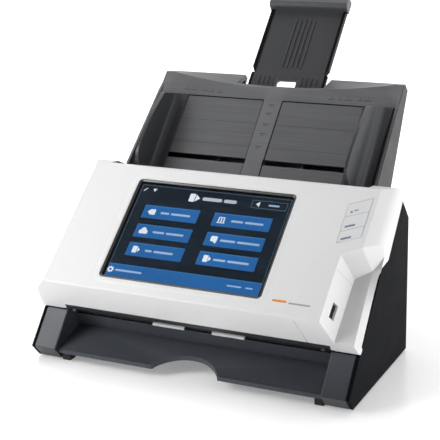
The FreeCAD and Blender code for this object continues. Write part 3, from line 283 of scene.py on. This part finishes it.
FINE = dict(grain=1500.0, depth=0.00003)
SPARK = dict(grain=1100.0, depth=0.00005)
POLISHED = dict(grain=1500.0, depth=0.00001)
finish = {
    "white": moulded("white_shell", (0.67, 0.67, 0.675), 0.38, **FINE,
                     vary=0.015, edge=0.03,
                     patch=(near_hinge, (0.02, 0.021, 0.024))),
    "tab": moulded("white_tab", (0.70, 0.70, 0.71), 0.4, vary=0.02),
    "skin": moulded("charcoal_skin", (0.0022, 0.0025, 0.0038), 0.5,
                    grain=1100.0, vary=0.08, edge=0.8, specular=0.02),
    # foot and base: their large edge values paint highlight lines along the
    # fillets
    "foot": moulded("charcoal_frame", (0.019, 0.021, 0.026), 0.36,
                    vary=0.10, edge=3.0, specular=0.35),
    "base": moulded("black_base", (0.023, 0.025, 0.030), 0.45,
                    depth=0.00008, vary=0.10, edge=2.0, specular=0.15),
    "inner": moulded("dark_inner", (0.02, 0.02, 0.023), 0.5, specular=0.2),
    # the near-black patch on the tray's outer sides is painted shade
    "tray": moulded("tray_grey", (0.118, 0.119, 0.124), 0.36,
                    grain=1300.0, depth=0.00008, edge=0.4, specular=0.15,
                    brushed=0.09, patch=(tray_side_painted_shade, (0.006, 0.006, 0.008))),
    "guide": moulded("guide_grey", (0.026, 0.027, 0.030), 0.34, **SPARK,
                     vary=0.06, edge=0.5, specular=0.45),
    "extension": moulded("extension_grey", (0.056, 0.057, 0.061), 0.3,
                         **SPARK, vary=0.06, edge=0.5, specular=0.25),
    "rail": moulded("rail_black", (0.006, 0.006, 0.007), 0.3, specular=0.06),
    "key": moulded("key_white", (0.665, 0.668, 0.677), 0.36, **FINE,
                   vary=0.01, edge=0.03),
    "acetal": moulded("white_acetal", (0.72, 0.70, 0.64), 0.4),
    "bezel": moulded("black_bezel", (0.002, 0.002, 0.0025), 0.2, **POLISHED,
                     vary=0.1, edge=0.2, specular=0.2),
    "bevel": moulded("bevel_black", (0.035, 0.035, 0.037), 0.22, **POLISHED,
                     edge=0.1, specular=0.6),
    "sensor": moulded("sensor_body", (0.03, 0.03, 0.033), 0.4),
    "socket": moulded("socket_plastic", (0.012, 0.012, 0.013), 0.38),
    "steel": metal("bright_steel", (0.62, 0.62, 0.63), 0.28),
    "can": metal("motor_can", (0.45, 0.46, 0.48), 0.38),
    "screw": metal("screw_steel", (0.18, 0.18, 0.19), 0.4),
    "rubber": rubber("black_rubber", (0.012, 0.012, 0.013)),
    "belt": rubber("belt_rubber", (0.03, 0.03, 0.031)),
    "board": board("circuit_board"),
    "glass": clear_glass("clear_glass"),
    "panel": glow("display_night", (0.010, 0.022, 0.036), 0.75,
                  low=(0.004, 0.009, 0.016), stretch=(1, 14, 14)),
}
ink = {name: moulded(name, colour, rough) for name, colour, rough in (
    ("accent_orange", (0.66, 0.22, 0.02), 0.4),
    ("accent_grey", (0.30, 0.29, 0.28), 0.4),
    ("seam_light", (0.42, 0.42, 0.43), 0.5),
    ("seam_grey", (0.56, 0.56, 0.57), 0.6),
    ("line_dark", (0.035, 0.035, 0.037), 0.4),
    ("tick_dark", (0.018, 0.018, 0.02), 0.4),
    ("mark_blue", (0.13, 0.155, 0.22), 0.4))}

DRESS = {
    "white": ["front_cover"],
    "tab": ["exit_tabs"],
    "skin": ["right_side_panel", "left_side_panel", "rear_cover"],
    "foot": ["right_side_frame", "left_side_frame"],
    "base": ["output_floor", "base_pan"],
    "inner": ["paper_bed", "cover_inner_frame"],
    "tray": ["paper_tray", "tray_back_cover"],
    "guide": ["right_paper_guide", "left_paper_guide", "right_guide_rack",
              "left_guide_rack"],
    "extension": ["tray_extension"],
    "rail": ["extension_rails"],
    "key": ["lower_key", "middle_key", "power_key"],
    "acetal": ["feed_pulley", "drive_pulley", "exit_pulley", "motor_pulley",
               "shaft_bushes", "guide_pinion"],
    "bezel": ["display_carrier"],
    "sensor": ["rear_image_sensor", "front_image_sensor"],
    "socket": ["power_socket"],
    "steel": ["feed_shaft", "drive_shaft", "exit_shaft", "motor_shaft",
              "hinge_pins", "lan_socket", "usb_b_socket", "usb_a_socket",
              "upper_nip_roller", "lower_nip_roller", "retard_roller"],
    "can": ["drive_motor"],
    "screw": ["rear_screws", "tray_screws"],
    "rubber": ["rubber_feet", "feed_tyres", "drive_tyres", "exit_tyres",
               "retard_sleeve"],
    "belt": ["drive_belt"],
    "board": ["main_board", "display_board", "key_board", "usb_a_board"],
    "glass": ["display_glass", "rear_sensor_glass", "front_sensor_glass"],
    "panel": ["display_panel"],
}
for look, members in DRESS.items():
    for member in members:
        for slot in nodes[member].material_slots:
            slot.material = finish[look]

# ------------------------------------------------------- drawing helpers


def rounded(x0, x1, s0, s1, r=0.0, steps=5):
    """Outline of a rectangle with round corners."""
    if r <= 0:
        return [(x0, s0), (x1, s0), (x1, s1), (x0, s1)]
    points = []
    for cx, cs, start in ((x1 - r, s0 + r, -90), (x1 - r, s1 - r, 0),
                          (x0 + r, s1 - r, 90), (x0 + r, s0 + r, 180)):
        for i in range(steps + 1):
            a = math.radians(start + 90 * i / steps)
            points.append((cx + r * math.cos(a), cs + r * math.sin(a)))
    return points


def disc(x, s, r, sides=24):
    return [(x + r * math.cos(2 * math.pi * i / sides),
             s + r * math.sin(2 * math.pi * i / sides))
            for i in range(sides)]


def gear(x, s, r, teeth=8):
    points = []
    for i in range(teeth * 4):
        a = 2 * math.pi * (i - 0.5) / (teeth * 4)
        reach = r if i % 4 in (0, 1) else 0.76 * r
        points.append((x + reach * math.cos(a), s + reach * math.sin(a)))
    return points


def bar(x0, x1, s, thick, lean=0.0):
    """Thin line from x0 to x1, rising by lean."""
    half = thick / 2
    return [(x0, s - half), (x1, s - half + lean),
            (x1, s + half + lean), (x0, s + half)]


def corners(bm, base, outline, height):
    return [bm.verts.new(base @ Vector((x, s, height))) for x, s in outline]


def strip(bm, low, high):
    """Faces between two rings of corners."""
    for i in range(len(low)):
        j = (i + 1) % len(low)
        bm.faces.new((low[i], low[j], high[j], high[i]))


def riding(bm, name, look, body, smooth=False):
    """Turns the mesh into a piece that rides on a body."""
    bmesh.ops.recalc_face_normals(bm, faces=bm.faces)
    mesh = bpy.data.meshes.new(name)
    bm.to_mesh(mesh)
    bm.free()
    mesh.materials.append(look)
    if smooth:
        for polygon in mesh.polygons:
            polygon.use_smooth = True
        mesh.set_sharp_from_angle(angle=math.radians(40))
    piece = bpy.data.objects.new(name, mesh)
    bpy.context.scene.collection.objects.link(piece)
    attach(piece, body)


def printed(name, base, outlines, low, high, look, body):
    """Flat shapes of one colour, as low raised or sunk ink."""
    bm = bmesh.new()
    for outline in outlines:
        bottom = corners(bm, base, outline, low)
        top = corners(bm, base, outline, high)
        bm.faces.new(top)
        bm.faces.new(bottom[::-1])
        strip(bm, bottom, top)
    riding(bm, name, look, body)


def moulding(name, base, window, radius, section, look, body):
    """Frame of constant section round a window with round corners.

    The section is a closed line of (distance outside the window, height).
    """
    x0, x1, s0, s1 = window
    bm = bmesh.new()
    rings = [corners(bm, base, rounded(x0 - away, x1 + away, s0 - away,
                                       s1 + away, radius + away, 8), height)
             for away, height in section]
    for ring, following in zip(rings, rings[1:] + rings[:1]):
        strip(bm, ring, following)
    riding(bm, name, look, body, smooth=True)


# ---------------------------------------------- picture on the display
VIEW = (-87.2, 67.2, 16.2, 119.5)          # lit area: x, x, s, s
PANEL_TOP = -2.9
LAYER = 0.08
TILE_W, TILE_H = 57.5, 14.4
TILE_X = (-75.4, -2.4)
TILE_S = (82.6, 61.0, 40.2)
# for each tile: its sign, where its words start, how wide they are
TILES = (("tag", 18.5, 9, 20), ("columns", 18.5, 12, 18),
         ("cloud", 18.5, 12, 18), ("balloon", 15.0, 15, 22),
         ("page", 18.5, 7, 20), ("page", 15.5, 12, 21))
WORD_GAP = 2.0
LOWER_BAR = 30.0                           # its upper edge
GEAR = (-83.6, 23.3)
FIELD = (29.5, 64.5, 106.6, 115.2)         # thin box at the upper right
THIN = 0.4


def tile_sign(kind, x, s):
    """Small white sign on a tile."""
    if kind == "tag":
        return [[(x - 4, s), (x - 1, s + 3), (x + 4.2, s + 3),
                 (x + 4.2, s - 3), (x - 1, s - 3)]]
    if kind == "cloud":
        return [disc(x - 2.4, s - 1, 2.2), disc(x + 2.4, s - 1, 2.2),
                disc(x, s + 1.2, 2.7), rounded(x - 4, x + 4, s - 3.1, s - .8)]
    if kind == "page":
        return [rounded(x - 3.4, x + 1.2, s - 3.6, s + 3.6, 0.5),
                [(x + 1.8, s - 2.8), (x + 4.4, s), (x + 1.8, s + 2.8)]]
    if kind == "columns":
        return [bar(x - 4, x + 4, s - 3.2, 0.9),
                bar(x - 3.2, x + 3.2, s + 2.6, 0.9)] + [
            rounded(x + d - 0.6, x + d + 0.6, s - 2.4, s + 1.8)
            for d in (-2.6, 0, 2.6)]
    return [rounded(x - 3.4, x + 3.2, s - 2.2, s + 3.6, 1.2),
            [(x - 0.6, s - 2), (x + 3, s - 2), (x + 2.2, s - 4.4)]]


def outlined(x0, x1, s0, s1):
    """Four thin lines round a rectangle, inside it."""
    return [rounded(x0, x1, s0, s0 + THIN), rounded(x0, x1, s1 - THIN, s1),
            rounded(x0, x0 + THIN, s0 + THIN, s1 - THIN),
            rounded(x1 - THIN, x1, s0 + THIN, s1 - THIN)]


def picture():
    """Generic menu: six tiles, a title line and a lower bar."""
    low, top = PANEL_TOP, PANEL_TOP + LAYER
    x0, x1, s0, _ = VIEW
    tiles, edges, signs, labels = [], [], [], []
    for i, (kind, start, *words) in enumerate(TILES):
        x, s = TILE_X[i % 2], TILE_S[i // 2]
        tiles.append(rounded(x, x + TILE_W, s, s + TILE_H))
        edges.append(rounded(x, x + TILE_W, s + TILE_H - 0.7, s + TILE_H))
        edges.append(rounded(x, x + 0.5, s, s + TILE_H - 0.7))
        signs += tile_sign(kind, x + 8.6, s + TILE_H / 2)
        for width in words:
            labels.append(rounded(x + start, x + start + width, s + 5.9,
                                  s + 8.1, 0.9))
            start += width + WORD_GAP
    tiles.append(rounded(x0 + 0.6, x1 - 0.6, s0 + 0.6, LOWER_BAR))
    edges.append(rounded(x0 + 0.6, x1 - 0.6, LOWER_BAR - 0.6, LOWER_BAR))
    signs.append(gear(*GEAR, 3.4))
    # sheet and arrow before the title, three small signs in the top line
    signs += [rounded(-34.2, -28.6, 106.0, 114.8, 0.7),
              [(-27.8, 106.5), (-23.2, 110.4), (-27.8, 114.3)],
              [(-84.4, 112.4), (-83.4, 112.4), (-80.4, 115.8),
               (-81.6, 115.8)],
              [(-74.6, 115.8), (-70.4, 115.8), (-72.5, 112.4)],
              [(33.8, 111.0), (37.4, 108.2), (37.4, 113.8)]]
    labels += [rounded(-78.6, -51.0, 22.3, 24.3, 0.9),
               rounded(35.0, 49.0, 22.4, 23.8, 0.6),
               rounded(53.0, 60.0, 22.4, 23.8, 0.6),
               rounded(46.5, 57.0, 110.0, 111.8, 0.7)]
    title = [rounded(-20.5, -0.5, 108.6, 112.2, 1.6),
             rounded(1.6, 14.5, 108.6, 112.2, 1.6)]
    lines = outlined(*VIEW) + outlined(*FIELD)
    blue = glow("tile_blue", (0.015, 0.125, 0.37))
    for name, shapes, floor, height, look in (
            ("menu_tiles", tiles, low, top, blue),
            ("menu_tile_edges", edges, top, top + LAYER / 2,
             glow("tile_edge", (0.05, 0.20, 0.50))),
            ("menu_signs", signs, low, top + LAYER,
             glow("sign_white", (0.80, 0.86, 0.92))),
            ("menu_labels", labels, low, top + LAYER,
             glow("label_pale", (0.36, 0.50, 0.70))),
            ("menu_title", title, low, top,
             glow("title_grey", (0.50, 0.56, 0.62))),
            ("menu_lines", lines, low, top,
             glow("line_grey", (0.10, 0.17, 0.24))),
            ("gear_hub", [disc(*GEAR, 1.3)], low, top + 1.5 * LAYER, blue)):
        printed(name, FACE, shapes, floor, height, look, "cover")


picture()

# -------------------------------------------- trim and marks on the cover
GLASS = (-91.3, 71.0, 13.35, 123.8)
INK_LOW, INK_TOP = -0.1, 0.03              # ink on a surface at height 0
moulding("display_bevel", FACE, GLASS, 3.6,
         [(0.25, -0.1), (-0.2, -0.1), (-1.9, -1.05), (-1.9, -1.15),
          (0.05, -1.15), (0.25, -0.9)], finish["bevel"], "cover")
moulding("display_surround", FACE, GLASS, 4.4,
         [(6.2, -0.05), (4.2, 0.34), (2.4, 0.42), (0.7, 0.2), (0.5, -0.3),
          (3.0, -0.3)], finish["white"], "cover")
printed("accent_bar", FACE, [rounded(82.0, 95.5, 12.9, 15.1, 1.0)],
        INK_LOW, INK_TOP, ink["accent_orange"], "cover")
printed("accent_line", FACE, [rounded(97.5, 117.5, 12.3, 13.9, 0.7)],
        INK_LOW, INK_TOP, ink["accent_grey"], "cover")

# seam across the wall of the recess that carries the USB socket
WALL_LEAN, WALL_X, SEAM_S = 0.3245, 129.2, 53.3
unit = 1 / math.hypot(1, WALL_LEAN)
recess_wall = FACE @ Matrix((
    (WALL_LEAN * unit, 0, unit, WALL_X), (0, 1, 0, SEAM_S),
    (-unit, 0, WALL_LEAN * unit, 0), (0, 0, 0, 1)))
printed("recess_seam", recess_wall, [rounded(1.2, 27.4, -0.22, 0.22)],
        -0.15, INK_TOP, ink["seam_light"], "cover")

# ------------------------------------------------------ marks on the tray
# sunk bays with black strips along their inner and upper edges as painted
# shade, size lines across them, ticks beside them
BAY_IN, BAY_OUT, BAY_LOW, BAY_TOP = 9.5, 126.2, 131.0, 245.5
BAY_H = -0.8
BAY_SHADE_WIDTH = 0.9
LINE_S, LINE_HALF = (217.4, 191.4), 0.2
WIDTH_TICKS = ((60, 6), (69, 5), (77, 9), (89, 5), (97, 8))  # x, length
WIDTH_S, WIDTH_RISE = 248.6, 0.03
LENGTH_TICKS = (239.6, 229.9, 217.4, 206.2, 191.4)
TICK = 0.7
bay_shade_strips, size_lines, ticks = [], [], []
for sign in (-1, 1):
    inner, outer = sorted((sign * BAY_IN, sign * BAY_OUT))
    bay_shade_strips.append(rounded(*sorted((sign * BAY_IN,
                                    sign * (BAY_IN + BAY_SHADE_WIDTH))),
                           BAY_LOW, BAY_TOP))
    bay_shade_strips.append(rounded(inner + BAY_SHADE_WIDTH, outer - BAY_SHADE_WIDTH,
                           BAY_TOP - BAY_SHADE_WIDTH, BAY_TOP))
    size_lines += [rounded(inner + 1.0, outer - 1.0, s - LINE_HALF,
                           s + LINE_HALF) for s in LINE_S]
    for x, length in WIDTH_TICKS:
        middle, s = sign * x, WIDTH_S + WIDTH_RISE * x
        ticks.append(bar(middle - length / 2, middle + length / 2, s, TICK))
        ticks.append(rounded(middle - 0.3, middle + 0.3, s + 1.8, s + 3.6))
for s in LENGTH_TICKS:
    ticks += [bar(-3.2, 3.2, s, TICK), bar(-1.6, 1.6, s - 2.0, 0.6)]
# black strips on the bays' stepped edges: painted shade of the steps
printed("bay_edge_painted_shade", PATH, bay_shade_strips, BAY_H - 0.1, BAY_H + 0.08,
        finish["rail"], "tray")
printed("size_lines", PATH, size_lines, BAY_H + INK_LOW, BAY_H + INK_TOP,
        ink["line_dark"], "tray")
printed("size_ticks", PATH, ticks, INK_LOW, 0.04, ink["tick_dark"], "tray")

# ---------------------------------------- seams and marks of the three keys
KEY_TOP = 0.35
KEY_X, KEY_LEAN = (121.8, 142.3), 0.447
KEY_SEAMS = (77.9, 90.1, 105.4, 119.4)
SEAM_TOP, SEAM_LOW, SEAM_HALF = -0.12, -1.6, 0.16
rise = KEY_LEAN * (KEY_X[1] - KEY_X[0])
seams = [bar(*KEY_X, s, 2 * SEAM_HALF, rise) for s in KEY_SEAMS]
for x in KEY_X:
    lift = KEY_LEAN * (x - KEY_X[0])
    seams.append(rounded(x - SEAM_HALF, x + SEAM_HALF, KEY_SEAMS[0] + lift,
                         KEY_SEAMS[-1] + lift))
printed("key_seams", FACE, seams, SEAM_LOW, SEAM_TOP, ink["seam_grey"],
        "cover")
for key, shapes in (("middle", [bar(124.6, 133.2, 95.4, 2.1, 3.6)]),
                    ("lower", [bar(124.6, 133.2, 82.4, 2.1, 3.6)]),
                    ("power", [disc(126.6, 111.6, 1.1),
                               bar(128.6, 132.2, 113.2, 1.3, 1.5)])):
    printed(key + "_key_mark", FACE, shapes, KEY_TOP + INK_LOW,
            KEY_TOP + INK_TOP, ink["mark_blue"], "key_" + key)

# ------------------------------------------------------ scene and camera
FLOOR_HALF, FLOOR_FRONT = 9.0, -4.0
CURVE_Y, CURVE_R, WALL_TOP = 2.5, 1.5, 7.0
# the table glows less near the machine: painted shade round it
GLOW_FROM, GLOW_TO = 0.22, 0.75            # metres from the machine
GLOW_NEAR, GLOW_FAR = 0.26, 0.75
AZIMUTH, ELEVATION, ROLL = (math.radians(v)
                            for v in (26.332, 16.878, -1.4455))
TARGET, DISTANCE = (-1.35, -MIDDLE_Y, 126.09), 1135.24
LENS, SENSOR, SHIFT = 100.38, 36.0, (0.00275, 0.01077)


def backdrop(name):
    """Glossy white table that glows more the farther it is from the machine;
    its weaker glow near the machine is painted shade round it.
    """
    m = Shader(name)
    m.feed("Base Color", m.ramp(m.noise(3.0), [
        (0.3, (0.87, 0.87, 0.875)), (0.7, (0.89, 0.89, 0.895))]))
    reach = m.maths(VECTOR, "LENGTH", m.where)["Value"]
    m.feed("Emission Strength", m.spread(reach, GLOW_NEAR, GLOW_FAR,
                                         GLOW_FROM, GLOW_TO))
    m.set(Emission_Color=(1, 1, 1, 1), Roughness=0.22)
    return m.mat


def sweep_line():
    """Floor, quarter circle and wall, seen from the side."""
    line = [(FLOOR_FRONT, 0.0), (CURVE_Y, 0.0)]
    for i in range(1, 13):
        a = math.radians(90 * i / 12)
        line.append((CURVE_Y + CURVE_R * math.sin(a),
                     CURVE_R - CURVE_R * math.cos(a)))
    line.append((CURVE_Y + CURVE_R, WALL_TOP))
    return line


def make_floor():
    """Pale sweep: flat under the object, curving up far behind it."""
    mesh = bpy.data.meshes.new("studio_floor")
    bm = bmesh.new()
    rows = [[bm.verts.new((x, y, z)) for x in (-FLOOR_HALF, FLOOR_HALF)]
            for y, z in sweep_line()]
    for a, b in zip(rows, rows[1:]):
        bm.faces.new((a[0], a[1], b[1], b[0]))
    bm.to_mesh(mesh)
    bm.free()
    floor = bpy.data.objects.new("studio_floor", mesh)
    bpy.context.scene.collection.objects.link(floor)
    for polygon in mesh.polygons:
        polygon.use_smooth = True
    mesh.materials.append(backdrop("studio_white"))


def area_light(name, place, aim, size, power, fan=180):
    """Soft box; a smaller fan keeps its light near the aim."""
    data = bpy.data.lights.new(name, "AREA")
    data.shape = "RECTANGLE"
    data.size, data.size_y = size
    data.energy = power
    data.spread = math.radians(fan)
    light = bpy.data.objects.new(name, data)
    bpy.context.scene.collection.objects.link(light)
    light.location = place
    light.rotation_euler = (Vector(aim) - Vector(place)).to_track_quat(
        "-Z", "Y").to_euler()


def make_camera():
    back = Vector((math.sin(AZIMUTH) * math.cos(ELEVATION),
                   -math.cos(AZIMUTH) * math.cos(ELEVATION),
                   math.sin(ELEVATION)))
    level = (-back).cross(Vector((0, 0, 1))).normalized()
    up = level.cross(-back)
    right = level * math.cos(ROLL) + up * math.sin(ROLL)
    above = -level * math.sin(ROLL) + up * math.cos(ROLL)
    data = bpy.data.cameras.new("camera")
    camera = bpy.data.objects.new("camera", data)
    bpy.context.scene.collection.objects.link(camera)
    turn = Matrix((right, above, back)).transposed().to_4x4()
    camera.matrix_world = Matrix.Translation(
        Vector(TARGET) * MM + back * (DISTANCE * MM)) @ turn
    data.lens, data.sensor_width = LENS, SENSOR
    data.shift_x, data.shift_y = SHIFT
    data.clip_end = 50.0
    bpy.context.scene.camera = camera


make_floor()
# name, place, aim, size, watts, fan
area_light("key", (-0.59, -0.55, 0.58), (-0.1, -0.08, 0.12), (0.45, 0.45),
           1.15, 80)
area_light("low", (-0.8, -0.9, 0.15), (-0.1, -0.14, 0.06), (0.4, 0.25),
           0.30, 50)
area_light("sky", (-1.5, 0.6, 1.9), (0, 0, 0.1), (1.0, 1.0), 10.0)
area_light("top", (0.0, 0.55, 2.1), (0, 0, 0.1), (1.4, 1.0), 13.0)
area_light("fill", (1.8, -0.1, 0.45), (0, 0, 0.12), (0.9, 0.7), 19.0)
world = bpy.data.worlds.new("studio")
world.use_nodes = True
sky = world.node_tree.nodes["Background"]
sky.inputs["Color"].default_value = (1.0, 1.0, 1.0, 1)
sky.inputs["Strength"].default_value = 0.13
bpy.context.scene.world = world
bpy.context.scene.view_settings.view_transform = "Standard"
make_camera()
